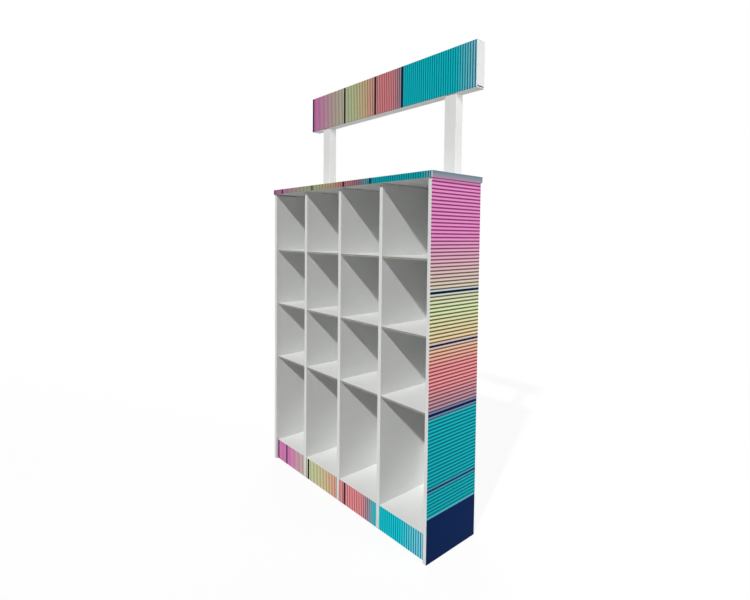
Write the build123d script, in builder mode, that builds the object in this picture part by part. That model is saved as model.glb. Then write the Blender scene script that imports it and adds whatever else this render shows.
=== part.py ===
from build123d import *
import os

# A cardboard floor display: four columns of shelves under a lid, and a header box on two posts.
# Driving dimensions in millimetres. The stand faces -Y, x = 0 is its middle and z = 0 is the floor.
board = 4.0  # corrugated board of the folded pieces and the back
shelf_board = 7.0  # double-wall board of the shelves
fold_radius = 2.5  # outside radius of a scored fold
slip = 0.5  # clearance where one piece slides into or over another
cabinet_width = 1102.0  # over the two side panels
cabinet_depth = 282.0  # side panels' front edges to the rear face of the back panel
cabinet_height = 1405.0  # floor to the underside of the lid
column_count = 4
wall_thickness = 18.0  # a side panel or divider, folded double
floor_height = 100.0  # top of the floor boards
wall_setback = 11.0  # dividers and plinth fronts behind the side panels' front edges
bottom_row = 446.0  # clear height of the bottom row
shelf_pitch = 282.0  # from one shelf to the next
shelf_setback = 2.0  # shelf fronts behind the dividers
tab_width = 40.0  # tabs of the shelves, floor boards and walls
tab_reach = 4.5  # how far a tab stands into the hollow of a wall or of the lid
tab_chamfer = 2.0  # lead-in at the corners of a tab
top_gap = 4.5  # the dividers and the side panels' inner leaves stop short of the lid
lid_height = 25.0
lid_overhang = 4.5  # lid past the cabinet on all four sides
corner_seam = 0.6  # slit between neighbouring flaps at a corner
flap_gap = 5.0  # open slit below the header's end flaps
header_height = 180.0
header_depth = 50.0
header_gap = 336.0  # lid top to header underside
post_width = 60.0
post_inset = 100.0  # end of the header to the outer face of a post
post_tab_width = 20.0

# Places that follow from them
half_width = cabinet_width / 2
front = -cabinet_depth / 2
inner_front = front + wall_setback
back = cabinet_depth / 2
back_face = back - board
column_pitch = (cabinet_width - wall_thickness) / column_count
column_clear = column_pitch - wall_thickness
column_centres = [(i - (column_count - 1) / 2) * column_pitch for i in range(column_count)]
divider_centres = [(i - (column_count - 2) / 2) * column_pitch for i in range(column_count - 1)]
shelf_rows = ["lower", "middle", "upper"]
shelf_levels = [floor_height + bottom_row + i * shelf_pitch for i in range(len(shelf_rows))]
floor_level = floor_height - board
tab_places = [-cabinet_depth / 4, cabinet_depth / 4]
tab_length = slip + board + tab_reach
leaf_offset = wall_thickness / 2 - board / 2
wall_top = cabinet_height - top_gap
lid_width = cabinet_width + 2 * lid_overhang
lid_depth = cabinet_depth + 2 * lid_overhang
lid_top = cabinet_height + lid_height
header_bottom = lid_top + header_gap
header_top = header_bottom + header_height
header_middle = lid_depth / 2 - header_depth / 2
post_depth = header_depth - 2 * (board + slip)
post_top = header_top - board
post_middle = lid_width / 2 - post_inset - post_width / 2
post_tab_place = post_width / 2 - board / 2

os.makedirs("parts", exist_ok=True)


def keep(piece, name):
    piece.part.label = name
    export_step(piece.part, f"parts/{name}.step")


def cut_slits(middle, length):
    # Slits for the side tabs of the shelves and the floor board, through a wall's leaves at x = middle
    for level, thickness in [(floor_level, board)] + [(z, shelf_board) for z in shelf_levels]:
        with Locations(*[(middle, y, level) for y in tab_places]):
            Box(length, tab_width + 2 * slip, thickness + slip, mode=Mode.SUBTRACT,
                align=(Align.CENTER, Align.CENTER, Align.MIN))


def add_top_tab(middle):
    # A tab on the top edge of the leaf at x = middle, through the floor of the lid
    with BuildSketch(Plane.YZ.offset(middle)) as tab:
        with Locations((0, wall_top)):
            Rectangle(tab_width, top_gap + board + tab_reach, align=(Align.CENTER, Align.MIN))
        chamfer(tab.vertices().group_by(Axis.Z)[-1], tab_chamfer)
    extrude(tab.sketch, amount=board / 2, both=True)


# Side panels: a sheet folded double at the front edge, the outer leaf covering the edge of the back panel
# and carrying the lid
for name, side in [("side_panel_left", -1), ("side_panel_right", 1)]:
    panel_middle = side * (half_width - wall_thickness / 2)
    inner_leaf = panel_middle - side * leaf_offset
    with BuildPart() as side_panel:
        with BuildSketch() as leaves:
            with Locations((panel_middle, 0)):
                Rectangle(wall_thickness, cabinet_depth)
            fillet(leaves.vertices().group_by(Axis.Y)[0], fold_radius)
            with Locations((panel_middle, board)):
                Rectangle(wall_thickness - 2 * board, cabinet_depth, mode=Mode.SUBTRACT)
            with Locations((inner_leaf, back - board / 2)):
                Rectangle(board, board, mode=Mode.SUBTRACT)
        extrude(amount=cabinet_height)
        with Locations((inner_leaf, 0, wall_top)):
            Box(board, cabinet_depth, top_gap, mode=Mode.SUBTRACT, align=(Align.CENTER, Align.CENTER, Align.MIN))
        cut_slits(inner_leaf, board)
        add_top_tab(inner_leaf)
    keep(side_panel, name)

# Dividers: a sheet folded into a flat sleeve, open at the back
for number, middle in enumerate(divider_centres, 1):
    with BuildPart() as divider:
        with BuildSketch() as sleeve:
            with Locations((middle, inner_front)):
                Rectangle(wall_thickness, back_face - inner_front, align=(Align.CENTER, Align.MIN))
            fillet(sleeve.vertices().group_by(Axis.Y)[0], fold_radius)
            with Locations((middle, inner_front + board)):
                Rectangle(wall_thickness - 2 * board, cabinet_depth, mode=Mode.SUBTRACT,
                          align=(Align.CENTER, Align.MIN))
        extrude(amount=wall_top)
        cut_slits(middle, wall_thickness)
        for leaf in (middle - leaf_offset, middle + leaf_offset):
            add_top_tab(leaf)
    keep(divider, f"divider_{number}")

# Shelves: flat boards with two tabs on each side and one through the back panel
shelf_width = column_clear - 2 * slip
shelf_front = inner_front + shelf_setback
shelf_depth = back_face - slip - shelf_front
shelf_middle = shelf_front + shelf_depth / 2
for row, level in zip(shelf_rows, shelf_levels):
    for number, middle in enumerate(column_centres, 1):
        with BuildPart() as shelf:
            with BuildSketch(Plane.XY.offset(level)) as outline:
                with Locations(*[(middle, y) for y in tab_places]):
                    Rectangle(shelf_width + 2 * tab_length, tab_width)
                chamfer(outline.vertices(), tab_chamfer)
                with Locations((middle, shelf_middle)):
                    Rectangle(shelf_width, shelf_depth)
                with Locations((middle, back)):
                    Rectangle(tab_width, board + 2 * slip, align=(Align.CENTER, Align.MAX))
            extrude(amount=shelf_board)
        keep(shelf, f"shelf_{row}_{number}")

# Floor boards: folded down at the front as the plinth, flush with the dividers, with two tabs on each side
for number, middle in enumerate(column_centres, 1):
    with BuildPart() as plinth:
        with BuildSketch(Plane.YZ.offset(middle)) as fold:
            with Locations((inner_front, 0)):
                Rectangle(back_face - inner_front, floor_height, align=(Align.MIN, Align.MIN))
            fillet(fold.vertices().group_by(Axis.Y)[0].group_by(Axis.Z)[-1], fold_radius)
            with Locations((inner_front + board, 0)):
                Rectangle(cabinet_depth, floor_level, mode=Mode.SUBTRACT, align=(Align.MIN, Align.MIN))
        extrude(amount=shelf_width / 2, both=True)
        with BuildSketch(Plane.XY.offset(floor_level)) as floor_tabs:
            with Locations(*[(middle, y) for y in tab_places]):
                Rectangle(shelf_width + 2 * tab_length, tab_width)
            chamfer(floor_tabs.vertices(), tab_chamfer)
        extrude(amount=board)
    keep(plinth, f"plinth_{number}")

# Back panel: a flat board between the outer leaves, with slits for the shelves' rear tabs
with BuildPart() as back_panel:
    with BuildSketch(Plane.XZ.offset(-back)) as back_outline:
        Rectangle(cabinet_width - 2 * (board + slip), cabinet_height, align=(Align.CENTER, Align.MIN))
        with Locations(*[(x, z) for x in column_centres for z in shelf_levels]):
            Rectangle(tab_width + 2 * slip, shelf_board + slip, mode=Mode.SUBTRACT,
                      align=(Align.CENTER, Align.MIN))
    extrude(amount=board)
keep(back_panel, "back_panel")

# Lid: a flat box on the side panels and the back panel. Its front and back lips stand between the side lips,
# its floor folds in from the back lip and has slits for the walls' tabs, and its top has slots for the posts
tabbed_leaves = [x + side * leaf_offset for x in divider_centres for side in (-1, 1)]
tabbed_leaves += [side * (half_width - wall_thickness / 2 - leaf_offset) for side in (-1, 1)]
with BuildPart() as lid_box:
    with BuildSketch(Plane.XY.offset(cabinet_height)):
        Rectangle(lid_width, lid_depth)
    extrude(amount=lid_height)
    top_folds = lid_box.edges().group_by(Axis.Z)[-1]
    floor_fold = lid_box.edges().group_by(Axis.Y)[-1].sort_by(Axis.Z)[:1]
    fillet(top_folds + floor_fold, fold_radius)
    with BuildSketch(Plane.XY.offset(cabinet_height + board)):
        Rectangle(lid_width - 2 * board, lid_depth - 2 * board)
    extrude(amount=lid_height - 2 * board, mode=Mode.SUBTRACT)
    with BuildSketch(Plane.XY.offset(cabinet_height)):
        with GridLocations(lid_width - 2 * board - corner_seam, lid_depth - board, 2, 2):
            Rectangle(corner_seam, board)
    extrude(amount=lid_height - board, mode=Mode.SUBTRACT)
    with BuildSketch(Plane.XY.offset(cabinet_height)):
        Rectangle(lid_width - 2 * board, lid_depth - 2 * board)
        with Locations((0, corner_seam)):
            Rectangle(lid_width - 2 * board - 2 * corner_seam, lid_depth - 2 * board, mode=Mode.SUBTRACT)
        with Locations(*[(x, 0) for x in tabbed_leaves]):
            Rectangle(board + 2 * slip, tab_width + 2 * slip)
    extrude(amount=board, mode=Mode.SUBTRACT)
    with BuildSketch(Plane.XY.offset(lid_top)):
        for side in (-1, 1):
            with Locations(*[(side * post_middle + x, header_middle) for x in (-post_tab_place, post_tab_place)]):
                Rectangle(board + 2 * slip, post_tab_width + 2 * slip)
    extrude(amount=-board, mode=Mode.SUBTRACT)
keep(lid_box, "lid_box")

# Posts: folded square tubes, with a tab on each side through the lid
for name, side in [("post_left", -1), ("post_right", 1)]:
    with BuildPart() as post:
        with BuildSketch(Plane.XY.offset(lid_top)):
            with Locations((side * post_middle, header_middle)):
                RectangleRounded(post_width, post_depth, fold_radius)
                Rectangle(post_width - 2 * board, post_depth - 2 * board, mode=Mode.SUBTRACT)
        extrude(amount=post_top - lid_top)
        with BuildSketch(Plane.XY.offset(lid_top)):
            with Locations(*[(side * post_middle + x, header_middle) for x in (-post_tab_place, post_tab_place)]):
                Rectangle(board, post_tab_width)
        extrude(amount=-board)
    keep(post, name)

# Header: a long folded box whose end flaps fold in from the back wall and stop short of the bottom,
# with a hole below for each post
with BuildPart() as header_box:
    with BuildSketch(Plane.YZ.offset(-lid_width / 2)):
        with Locations((header_middle, header_bottom + header_height / 2)):
            RectangleRounded(header_depth, header_height, fold_radius)
    extrude(amount=lid_width)
    fillet(header_box.edges().filter_by(Axis.Z).group_by(Axis.Y)[-1], fold_radius)
    with BuildSketch(Plane.YZ.offset(-lid_width / 2 + board)):
        with Locations((header_middle, header_bottom + header_height / 2)):
            Rectangle(header_depth - 2 * board, header_height - 2 * board)
    extrude(amount=lid_width - 2 * board, mode=Mode.SUBTRACT)
    with BuildSketch(Plane.YZ.offset(-lid_width / 2), Plane.YZ.offset(lid_width / 2 - board)):
        with Locations((header_middle, header_bottom + header_height / 2)):
            Rectangle(header_depth - 2 * board, header_height - 2 * board)
        with Locations((header_middle + corner_seam, header_bottom + board + flap_gap)):
            Rectangle(header_depth - 2 * board, header_height - 2 * board - flap_gap - corner_seam,
                      mode=Mode.SUBTRACT, align=(Align.CENTER, Align.MIN))
    extrude(amount=board, mode=Mode.SUBTRACT)
    with BuildSketch(Plane.XY.offset(header_bottom)):
        with Locations((-post_middle, header_middle), (post_middle, header_middle)):
            Rectangle(post_width + 2 * slip, post_depth + 2 * slip)
    extrude(amount=board, mode=Mode.SUBTRACT)
keep(header_box, "header_box")
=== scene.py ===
import math

import bpy
from mathutils import Matrix, Vector


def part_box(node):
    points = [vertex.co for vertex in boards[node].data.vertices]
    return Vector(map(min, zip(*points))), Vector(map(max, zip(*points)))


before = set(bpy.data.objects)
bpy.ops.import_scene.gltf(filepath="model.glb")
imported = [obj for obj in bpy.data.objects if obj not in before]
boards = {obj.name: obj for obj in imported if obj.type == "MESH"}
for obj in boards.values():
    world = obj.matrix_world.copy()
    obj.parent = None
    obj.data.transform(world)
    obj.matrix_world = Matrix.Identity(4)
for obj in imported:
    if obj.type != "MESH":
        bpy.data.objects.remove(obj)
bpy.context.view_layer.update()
print("frame loaded,", len(boards), "pieces of board")


def ink(red, green, blue):
    # a print colour in steps of 0 to 255, as the linear colour that a shader takes
    parts = [step / 255 for step in (red, green, blue)]
    return [part / 12.92 if part < 0.04 else ((part + 0.055) / 1.055) ** 2.4 for part in parts] + [1]


class Value:
    # one output socket of a look; sums and products of it add Math nodes
    def __init__(self, look, socket):
        self.look = look
        self.socket = socket

    def other(self, name):
        return Value(self.look, self.socket.node.outputs[name])

    def maths(self, operation, *terms):
        return self.look.node("ShaderNodeMath", {"operation": operation}, dict(enumerate(terms)))

    def __add__(self, term):
        return self.maths("ADD", self, term)

    def __sub__(self, term):
        return self.maths("SUBTRACT", self, term)

    def __rsub__(self, term):
        return self.maths("SUBTRACT", term, self)

    def __mul__(self, term):
        return self.maths("MULTIPLY", self, term)

    def __truediv__(self, term):
        return self.maths("DIVIDE", self, term)

    def __mod__(self, term):
        return self.maths("FLOORED_MODULO", self, term)

    def __abs__(self):
        return self.maths("ABSOLUTE", self)

    __radd__ = __add__
    __rmul__ = __mul__

    def past(self, edge, soft):
        # 0 below the edge and 1 above it, with a smooth step twice soft wide
        return self.look.node(
            "ShaderNodeMapRange",
            {"interpolation_type": "SMOOTHSTEP"},
            {"Value": self, "From Min": edge - soft, "From Max": edge + soft},
        )

    def part(self, low, high):
        # 0 up to low and 1 from high on, straight between them
        return self.look.node("ShaderNodeMapRange", None, {"Value": self, "From Min": low, "From Max": high})

    def band(self, middle, width, soft):
        # 1 in a band round the middle and 0 outside it
        return 1 - abs(self - middle).past(width / 2, soft)

    def turned(self, limit, soft=0.1):
        # of one part of a normal: 1 where it is over the limit, whichever way it points
        return abs(self).past(limit, soft)


class Look:
    # a material, or the world; node() is the one way that its nodes are made
    def __init__(self, owner):
        self.owner = owner
        owner.use_nodes = True
        self.tree = owner.node_tree
        self.tree.nodes.clear()

    def node(self, kind, settings=None, sockets=None, out=0):
        made = self.tree.nodes.new(kind)
        for name, setting in (settings or {}).items():
            if name == "stops":
                self.setStops(made.color_ramp.elements, setting)
            else:
                setattr(made, name, setting)
        for name, term in (sockets or {}).items():
            if isinstance(term, Value):
                self.tree.links.new(term.socket, made.inputs[name])
            else:
                made.inputs[name].default_value = term
        return Value(self, made.outputs[out]) if made.outputs else made

    def setStops(self, steps, stops):
        # a new ramp has a step at each end, so only the ones between are added
        for stop in stops[1:-1]:
            steps.new(stop[0])
        for step, (place, colour) in zip(steps, stops):
            step.position = place
            step.color = colour

    def axes(self, output):
        # x, y and z of a Texture Coordinate output, in the stand's own frame
        source = self.node("ShaderNodeTexCoord").other(output)
        split = self.node("ShaderNodeSeparateXYZ", None, {0: source})
        return split, split.other("Y"), split.other("Z")

    def mix(self, share, first, second):
        kind = {"data_type": "RGBA", "blend_type": "MIX"}
        return self.node("ShaderNodeMix", kind, {0: share, 6: first, 7: second}, out=2)

    def ramp(self, along, stops):
        return self.node("ShaderNodeValToRGB", {"stops": stops}, {0: along})

    def noise(self, scale, detail, stretch=(1, 1, 1)):
        point = self.node("ShaderNodeTexCoord").other("Object")
        point = self.node("ShaderNodeMapping", None, {"Vector": point, "Scale": stretch})
        return self.node("ShaderNodeTexNoise", None, {"Vector": point, "Scale": scale, "Detail": detail})


# white-lined corrugated board: plain liner, a greyer core at the cut edges, darkened as painted shadow inside
# the open flutes, faint flutes under the paper
boardLook = {
    "liner": ink(231, 232, 231),
    "linerShade": ink(223, 224, 222),
    "cloudScale": 7.0,  # slow clouds between the liner and its shade
    "cloudDetail": 3.0,
    # the core colour on the next line is the grey of the board's core together with painted shadow inside its
    # open flutes
    "coreAndFluteShade": ink(150, 146, 134),
    "dust": ink(186, 180, 168),
    "dustHeight": 0.10,
    "dustMost": 0.25,
    "flutePitch": 0.0075,
    "fluteDepth": 0.00004,
    "fibreScale": 420.0,
    "fibreDetail": 2.0,
    "fibreStretch": (1, 1, 0.35),
    "fibreDepth": 0.00003,
    "plainRoughness": 0.62,
    "printRoughness": 0.40,
    "roughnessSpread": 0.10,
    "shine": 0.02,
}


def finishBoard(look, flute, cut=0.0, inkColour=None, inkMask=0.0):
    # flute is the length across the flutes, cut the share of cut edge; the ink lies where its mask is 1
    z = look.axes("Object")[2]
    cloud = look.noise(boardLook["cloudScale"], boardLook["cloudDetail"])
    fibre = look.noise(boardLook["fibreScale"], boardLook["fibreDetail"], boardLook["fibreStretch"])
    liner = look.mix(cloud, boardLook["liner"], boardLook["linerShade"])
    # cut edges take the core colour, which holds painted shadow of the flutes
    liner = look.mix(cut, liner, boardLook["coreAndFluteShade"])
    halfDust = boardLook["dustHeight"] / 2
    dustShare = (1 - z.past(halfDust, halfDust)) * cloud * boardLook["dustMost"]
    colour = look.mix(dustShare, liner, boardLook["dust"])
    roughness = boardLook["plainRoughness"] + (fibre - 0.5) * boardLook["roughnessSpread"]
    if inkColour:
        colour = look.mix(inkMask, colour, inkColour)
        roughness = roughness - inkMask * (boardLook["plainRoughness"] - boardLook["printRoughness"])
    phase = flute * (2 * math.pi / boardLook["flutePitch"])
    height = phase.maths("SINE", phase) * (boardLook["fluteDepth"] / 2) + fibre * boardLook["fibreDepth"]
    bump = look.node("ShaderNodeBump", None, {"Strength": 1.0, "Distance": 1.0, "Height": height})
    paperSockets = {
        "Base Color": colour,
        "Roughness": roughness,
        "Normal": bump,
        "Specular IOR Level": boardLook["shine"],
    }
    paper = look.node("ShaderNodeBsdfPrincipled", None, paperSockets)
    look.node("ShaderNodeOutputMaterial", None, {"Surface": paper})
    return look.owner


def newLook(name):
    return Look(bpy.data.materials.new(name))


# the stripes' inks: each colour has a pale stripe and a dark line
stripeInks = {
    "pink": {"pale": (228, 141, 196), "dark": (126, 52, 100)},
    "blush": {"pale": (217, 193, 187), "dark": (97, 81, 73)},
    "lime": {"pale": (215, 227, 179), "dark": (75, 87, 49)},
    "sand": {"pale": (232, 208, 166), "dark": (97, 82, 46)},
    "coral": {"pale": (233, 151, 155), "dark": (132, 54, 58)},
    "mauve": {"pale": (172, 146, 162), "dark": (86, 60, 74)},
    # the ink on the next line is the aqua ink darkened as painted shade, for the lower part of the side
    # panels
    "aquaInShade": {"pale": (20, 177, 188), "dark": (0, 94, 104)},
    "aqua": {"pale": (22, 200, 214), "dark": (0, 114, 126)},
    "mist": {"pale": (134, 203, 223), "dark": (30, 88, 108)},
}
stripeLine = {"darkShare": 0.42, "soft": 0.20}

# how far in from its face a print reaches, and how soft its edges are
inkEdge = {
    "skin": 0.0015,
    "skinSoft": 0.0003,
    "lineSoft": 0.0008,
    "besideSoft": 0.001,
    "footSoft": 0.0006,
}


def stripes(look, count, share, design):
    # dark lines at whole counts; along the share of the print its colours run from one ink to the next
    fromLine = abs((count + 0.5) % 1.0 - 0.5) * 2
    onLine = 1 - fromLine.past(stripeLine["darkShare"], stripeLine["soft"])
    runs = {}
    for tone in ("pale", "dark"):
        stops = []
        for place, name in design["run"]:
            # the scale used here makes each print's inks brighter or darker as painted light and shade, for
            # how much light falls on that print
            stops.append((place, ink(*[step * design["paintedLightScale"] for step in stripeInks[name][tone]])))
        runs[tone] = look.ramp(share, stops)
    return onLine, runs["pale"], runs["dark"]


def frontSkin(y, face):
    # 1 on a front face and 0 behind it
    return 1 - y.past(face + inkEdge["skin"], inkEdge["skinSoft"])


def sideSkin(x, face):
    # 1 on the outer faces at both ends and 0 between them
    return abs(x).past(face - inkEdge["skin"], inkEdge["skinSoft"])


# the print outside on the side panels: level stripes whose colours change with height, and a plain foot
sidePrint = {
    "pitch": 0.0134,
    "height": 1.43,
    # the scale on the next line is painted light and shade on the inks; 1 leaves them as they are
    "paintedLightScale": 1.0,
    # the lower stripes take the aqua ink darkened as painted shade
    "run": [
        (0.00, "aquaInShade"), (0.37, "aquaInShade"), (0.395, "mauve"), (0.46, "coral"), (0.50, "coral"),
        (0.575, "sand"), (0.65, "lime"), (0.735, "blush"), (0.84, "pink"), (1.00, "pink"),
    ],
    "foot": {"height": 0.168, "colour": ink(2, 32, 78), "edge": ink(92, 172, 188), "edgeWidth": 0.006},
    # wide dark lines from the foot up, and the paler stripes beside each
    "besideWidth": 0.006,
    "lines": [
        {"height": 0.272, "width": 0.0074, "colour": ink(0, 36, 70), "beside": ink(72, 152, 176)},
        {"height": 0.551, "width": 0.0108, "colour": ink(10, 28, 70), "beside": ink(126, 138, 170)},
        {"height": 0.802, "width": 0.0084, "colour": ink(32, 26, 36), "beside": ink(206, 192, 196)},
        {"height": 0.994, "width": 0.0098, "colour": ink(14, 26, 38), "beside": ink(200, 210, 212)},
    ],
}


def sideLook():
    look = newLook("sidePrint")
    x, y, z = look.axes("Object")
    outside = sideSkin(x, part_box("side_panel_right")[1].x)
    foot = sidePrint["foot"]
    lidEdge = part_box("lid_box")[0].z
    # a whole number of stripes fits between each wide line and the next
    levels = [foot["height"]] + [line["height"] for line in sidePrint["lines"]] + [lidEdge]
    count = 0.0
    for lower, upper in zip(levels, levels[1:]):
        count = count + z.part(lower, upper) * round((upper - lower) / sidePrint["pitch"])
    onLine, pale, dark = stripes(look, count, z / sidePrint["height"], sidePrint)
    for line in sidePrint["lines"]:
        width = line["width"] + 2 * sidePrint["besideWidth"]
        pale = look.mix(z.band(line["height"], width, inkEdge["besideSoft"]), pale, line["beside"])
    colour = look.mix(onLine, pale, dark)
    for line in sidePrint["lines"]:
        colour = look.mix(z.band(line["height"], line["width"], inkEdge["lineSoft"]), colour, line["colour"])
    footEdge = z.band(foot["height"], 2 * foot["edgeWidth"], inkEdge["lineSoft"])
    colour = look.mix(footEdge, colour, foot["edge"])
    colour = look.mix(1 - z.past(foot["height"], inkEdge["footSoft"]), colour, foot["colour"])
    return finishBoard(look, x + y, inkColour=colour, inkMask=outside)


# the prints that look forward: upright stripes whose colours change from left to right, with wide dark lines
frontPrint = {
    "pitch": 0.0122,
    "lineWidth": 0.0125,
    "lineColour": ink(24, 30, 50),
    "turnedOff": 0.7,  # a face whose normal has more than this of x is bare
}


def frontColour(look, x, reach, design):
    # x in metres from the middle; reach is half the width of the print
    onLine, pale, dark = stripes(look, x / frontPrint["pitch"], x.part(-reach, reach), design)
    colour = look.mix(onLine, pale, dark)
    for share in design["lines"]:
        line = x.band((2 * share - 1) * reach, frontPrint["lineWidth"], inkEdge["lineSoft"])
        colour = look.mix(line, colour, frontPrint["lineColour"])
    return colour


def frontLook(name, face, reach, design):
    # a folded board with its print on the face that looks forward
    look = newLook(name)
    x, y, _ = look.axes("Object")
    nx, _, nz = look.axes("Normal")
    front = frontSkin(y, face) * (1 - nx.turned(frontPrint["turnedOff"]))
    colour = frontColour(look, x, reach, design)
    return finishBoard(look, x + y * (1 - abs(nz)), inkColour=colour, inkMask=front)


headerPrint = {
    # the scale on the next line darkens the header's inks a little as painted shade
    "paintedLightScale": 0.96,
    "run": [
        (0.03, "pink"), (0.18, "blush"), (0.31, "lime"), (0.40, "sand"), (0.50, "coral"),
        (0.58, "coral"), (0.625, "mauve"), (0.646, "aqua"), (0.91, "aqua"), (1.00, "mist"),
    ],
    "lines": [0.008, 0.261, 0.476, 0.637],
}


def headerLook():
    low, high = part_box("header_box")
    return frontLook("headerPrint", low.y, high.x, headerPrint)


plinthPrint = {
    # the scale on the next line brightens the plinth's inks as painted light
    "paintedLightScale": 1.09,
    "run": [
        (0.03, "pink"), (0.12, "pink"), (0.23, "blush"), (0.30, "lime"), (0.42, "sand"), (0.53, "coral"),
        (0.65, "coral"), (0.69, "mauve"), (0.735, "aqua"), (0.87, "aqua"), (1.00, "mist"),
    ],
    "lines": [0.016, 0.093, 0.279, 0.546, 0.748],
}


def plinthLook():
    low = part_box("plinth_1")[0]
    return frontLook("plinthPrint", low.y, -low.x, plinthPrint)


lidPrint = {
    # the scale on the next line darkens the lid's inks as painted shade
    "paintedLightScale": 0.87,
    "run": [
        (0.04, "pink"), (0.20, "blush"), (0.34, "lime"), (0.44, "sand"), (0.55, "coral"),
        (0.64, "mauve"), (0.70, "aqua"), (0.95, "aqua"), (1.00, "mist"),
    ],
    "lines": [0.006, 0.081, 0.324, 0.542, 0.699],
    "side": [(0.0, ink(172, 140, 168)), (0.45, ink(132, 140, 154)), (1.0, ink(98, 128, 134))],
    "sideTurn": 0.5,  # a face whose normal has more than this of x has the side's colours
    "rim": 0.0012,  # bare edge round the top
    "seam": 0.0041,  # the front lip's print ends at the side lips
    "seamSoft": 0.0001,
}


def lidLook():
    look = newLook("lidPrint")
    low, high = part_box("lid_box")
    x, y, z = look.axes("Object")
    nx, ny, _ = look.axes("Normal")
    rim = 1 - z.past(high.z - lidPrint["rim"], inkEdge["skinSoft"])
    front = frontSkin(y, low.y) * (1 - abs(x).past(high.x - lidPrint["seam"], lidPrint["seamSoft"]))
    side = sideSkin(x, high.x) * nx.turned(lidPrint["sideTurn"])
    colour = frontColour(look, x, high.x, lidPrint)
    colour = look.mix(side, colour, look.ramp(z.part(low.z, high.z), lidPrint["side"]))
    mask = front.maths("MAXIMUM", front, side) * rim
    return finishBoard(look, y + z * abs(ny), inkColour=colour, inkMask=mask)


# the cut edges of the shelves show the core between two liners, in the core colour darkened as painted shadow
# inside the flutes
shelfEdge = {
    "liners": 0.0014,  # both of them together
    "soft": 0.0002,
    "levelTurn": 0.5,  # a face whose normal has more than this of z is a liner, not a cut edge
    "lift": 0.0001,  # keeps a board's underside off the start of the repeat
}


def shelfLook():
    look = newLook("shelfBoard")
    low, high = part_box("shelf_lower_1")
    thick = high.z - low.z
    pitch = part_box("shelf_middle_1")[0].z - low.z
    _, y, z = look.axes("Object")
    nz = look.axes("Normal")[2]
    rise = (z - low.z + shelfEdge["lift"]) % pitch  # height inside the thickness of the board
    coreAndFluteShade = rise.band(thick / 2, thick - shelfEdge["liners"], shelfEdge["soft"])
    return finishBoard(look, y, cut=coreAndFluteShade * (1 - nz.turned(shelfEdge["levelTurn"])))


def wallLook():
    look = newLook("wallBoard")
    x, y, _ = look.axes("Object")
    return finishBoard(look, x + y)


wallBoard = wallLook()
finishes = {
    "side_panel": ("side_print", sideLook()),
    "plinth": ("plinth_print", plinthLook()),
    "lid_box": ("lid_print", lidLook()),
    "header_box": ("header_print", headerLook()),
    "shelf": ("white_board", shelfLook()),
    "divider": ("white_board", wallBoard),
    "back_panel": ("white_board", wallBoard),
    "post": ("white_board", wallBoard),
}
for name, board in boards.items():
    slotName, material = next(finish for start, finish in finishes.items() if name.startswith(start))
    board.data.materials.clear()
    board.data.materials.append(material)
print("boards finished,", len(bpy.data.materials), "materials")


# studio: a pale floor, a key lamp above the front right, soft lamps at the right and behind on the left,
# and a little light all round
studio = {
    "floorReach": 30.0,
    "floorColour": ink(172, 172, 172),
    "floorSeenColour": ink(245, 245, 245),
    "floorOwnWhite": 0.90,  # share of the seen floor that is white by itself, all of it far out
    "clearFrom": 3.0,
    "clearSoft": 1.5,
    "roundLight": 0.03,
}
lamps = {
    "keyLamp": {"kind": "SUN", "place": (2.00, -4.9, 5.8), "aim": (0, 0, 0.9), "angle": 0.04, "energy": 3.00},
    "sideLamp": {"kind": "AREA", "place": (4.0, 1.3, 1.9), "aim": (0, 0, 1.0), "size": 2.2, "energy": 92},
    "backLamp": {"kind": "AREA", "place": (-3.3, 2.3, 2.2), "aim": (0, 0, 1.0), "size": 3.0, "energy": 118},
}
white = (1, 1, 1, 1)


def seen(look):
    # 1 for what the camera, a gloss or a clear piece sees
    path = look.node("ShaderNodeLightPath")  # its first output is Is Camera Ray
    seenShare = path + path.other("Is Glossy Ray") + path.other("Is Transmission Ray")
    return look.node("ShaderNodeClamp", None, {"Value": seenShare})


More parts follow.
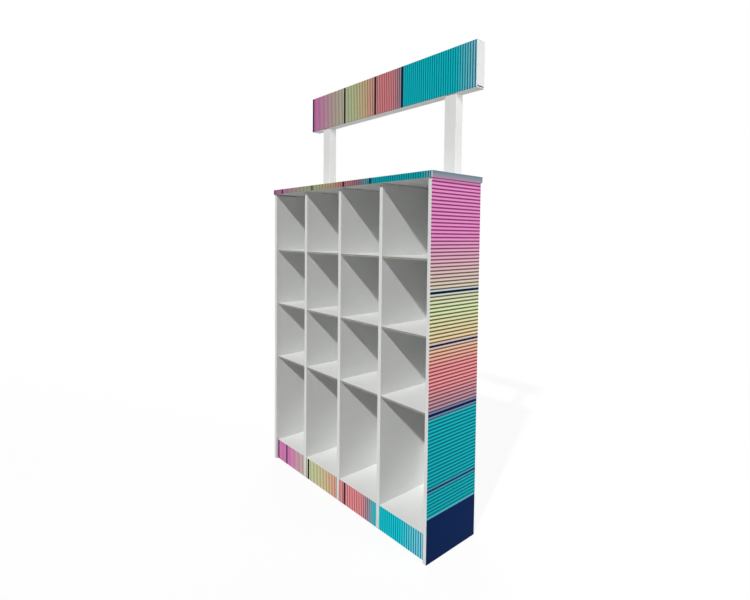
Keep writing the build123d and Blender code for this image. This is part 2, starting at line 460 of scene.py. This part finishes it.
def makeFloor():
    reach = studio["floorReach"]
    corners = [(-reach, -reach, 0), (reach, -reach, 0), (reach, reach, 0), (-reach, reach, 0)]
    mesh = bpy.data.meshes.new("studioFloor")
    mesh.from_pydata(corners, [], [(0, 1, 2, 3)])
    floor = bpy.data.objects.new("studioFloor", mesh)
    bpy.context.scene.collection.objects.link(floor)
    look = newLook("studioFloor")
    x, y, _ = look.axes("Object")
    square = x * x + y * y
    away = square.maths("SQRT", square).past(studio["clearFrom"], studio["clearSoft"])
    own = studio["floorOwnWhite"] + away * (1 - studio["floorOwnWhite"])
    matt = look.node("ShaderNodeBsdfDiffuse", None, {"Color": studio["floorColour"]})
    pale = look.node("ShaderNodeBsdfDiffuse", None, {"Color": studio["floorSeenColour"]})
    glow = look.node("ShaderNodeEmission", None, {"Color": white, "Strength": 1.0})
    seenFloor = look.node("ShaderNodeMixShader", None, {0: own, 1: pale, 2: glow})
    surface = look.node("ShaderNodeMixShader", None, {0: seen(look), 1: matt, 2: seenFloor})
    look.node("ShaderNodeOutputMaterial", None, {"Surface": surface})
    mesh.materials.append(look.owner)


def makeWorld():
    world = bpy.data.worlds.new("studioRound")
    bpy.context.scene.world = world
    look = Look(world)
    plain = look.node("ShaderNodeBackground", None, {"Color": white, "Strength": studio["roundLight"]})
    bright = look.node("ShaderNodeBackground", None, {"Color": white, "Strength": 1.0})
    surface = look.node("ShaderNodeMixShader", None, {0: seen(look), 1: plain, 2: bright})
    look.node("ShaderNodeOutputWorld", None, {"Surface": surface})


def makeLamp(name, kind, place, aim, **settings):
    data = bpy.data.lights.new(name, kind)
    for setting, amount in settings.items():
        setattr(data, setting, amount)
    lamp = bpy.data.objects.new(name, data)
    bpy.context.scene.collection.objects.link(lamp)
    lamp.location = place
    lamp.rotation_euler = (Vector(aim) - Vector(place)).to_track_quat("-Z", "Y").to_euler()


makeFloor()
makeWorld()
for name, lamp in lamps.items():
    makeLamp(name, **lamp)
bpy.context.scene.view_settings.view_transform = "Standard"
print("studio lit by", len(lamps), "lamps")

# the camera stands front right, about level with the upper shelves
standView = {
    "place": (1.6751, -1.3899, 1.1987),
    "turn": 48.735,  # degrees round the upright axis, from looking straight back
    "tilt": -2.509,
    "lean": 0.609,
    "lens": 22.708,
    "shift": -0.0587,
}


def makeCamera():
    data = bpy.data.cameras.new("standView")
    data.lens = standView["lens"]
    data.shift_y = standView["shift"]
    camera = bpy.data.objects.new("standView", data)
    bpy.context.scene.collection.objects.link(camera)
    turn, tilt, lean = (math.radians(standView[name]) for name in ("turn", "tilt", "lean"))
    upright = Matrix.Rotation(turn, 4, "Z") @ Matrix.Rotation(math.pi / 2 + tilt, 4, "X")
    aim = upright @ Matrix.Rotation(lean, 4, "Z")
    camera.matrix_world = Matrix.Translation(standView["place"]) @ aim
    bpy.context.scene.camera = camera


makeCamera()
print("camera set")
